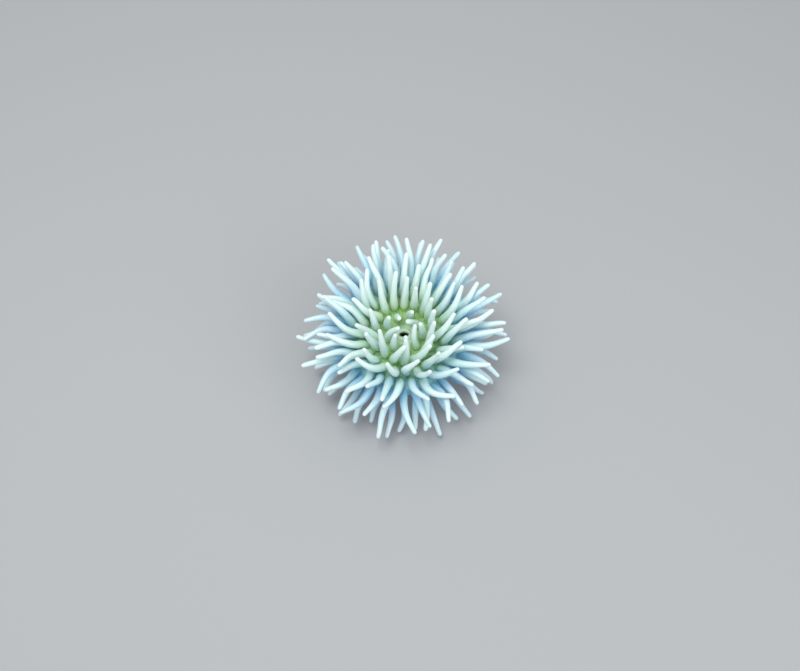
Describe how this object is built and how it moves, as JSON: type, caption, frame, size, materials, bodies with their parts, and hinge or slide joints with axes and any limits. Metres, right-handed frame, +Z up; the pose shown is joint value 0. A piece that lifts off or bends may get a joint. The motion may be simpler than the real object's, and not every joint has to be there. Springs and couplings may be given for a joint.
{
  "type": "sea anemone",
  "caption": "Life-size sea anemone resting on its flat foot, with a short leaning column and a round crown of stout, blunt, pale blue-green tentacles around a green oral disc.",
  "frame": {"origin": "middle of the foot's flat sole", "axes": "+Z up, -Y towards the side that the crown leans to, +X to the right of someone who looks along +Y"},
  "size_m": [0.1795, 0.1782, 0.1038],
  "materials": {
    "column": "satin, wet-looking skin",
    "disc": "satin, wet-looking skin",
    "tentacles": "satin, wet-looking skin, slightly translucent"
  },
  "bodies": {
    "root": {"foot": "column", "column_lower": "column", "column_upper": "column", "collar": "column", "oral_disc": "disc", "lips": "disc", "tentacles_first_1": "tentacles", "tentacles_first_2": "tentacles", "tentacles_first_3": "tentacles", "tentacles_second_1": "tentacles", "tentacles_second_2": "tentacles", "tentacles_second_3": "tentacles", "tentacles_second_4": "tentacles", "tentacles_second_5": "tentacles", "tentacles_second_6": "tentacles", "tentacles_third_1": "tentacles", "tentacles_third_2": "tentacles", "tentacles_third_3": "tentacles", "tentacles_third_4": "tentacles", "tentacles_third_5": "tentacles", "tentacles_third_6": "tentacles", "tentacles_third_7": "tentacles", "tentacles_third_8": "tentacles", "tentacles_fourth_1": "tentacles", "tentacles_fourth_2": "tentacles", "tentacles_fourth_3": "tentacles", "tentacles_fourth_4": "tentacles", "tentacles_fourth_5": "tentacles", "tentacles_fourth_6": "tentacles", "tentacles_fourth_7": "tentacles", "tentacles_fourth_8": "tentacles", "tentacles_fourth_9": "tentacles", "tentacles_fourth_10": "tentacles", "tentacles_fifth_1": "tentacles", "tentacles_fifth_2": "tentacles", "tentacles_fifth_3": "tentacles", "tentacles_fifth_4": "tentacles", "tentacles_fifth_5": "tentacles", "tentacles_fifth_6": "tentacles", "tentacles_fifth_7": "tentacles", "tentacles_fifth_8": "tentacles", "tentacles_fifth_9": "tentacles", "tentacles_fifth_10": "tentacles", "tentacles_fifth_11": "tentacles", "tentacles_fifth_12": "tentacles", "tentacles_sixth_1": "tentacles", "tentacles_sixth_2": "tentacles", "tentacles_sixth_3": "tentacles", "tentacles_sixth_4": "tentacles", "tentacles_sixth_5": "tentacles", "tentacles_sixth_6": "tentacles", "tentacles_sixth_7": "tentacles", "tentacles_sixth_8": "tentacles", "tentacles_sixth_9": "tentacles", "tentacles_sixth_10": "tentacles", "tentacles_sixth_11": "tentacles", "tentacles_sixth_12": "tentacles"}
  },
  "joints": []
}
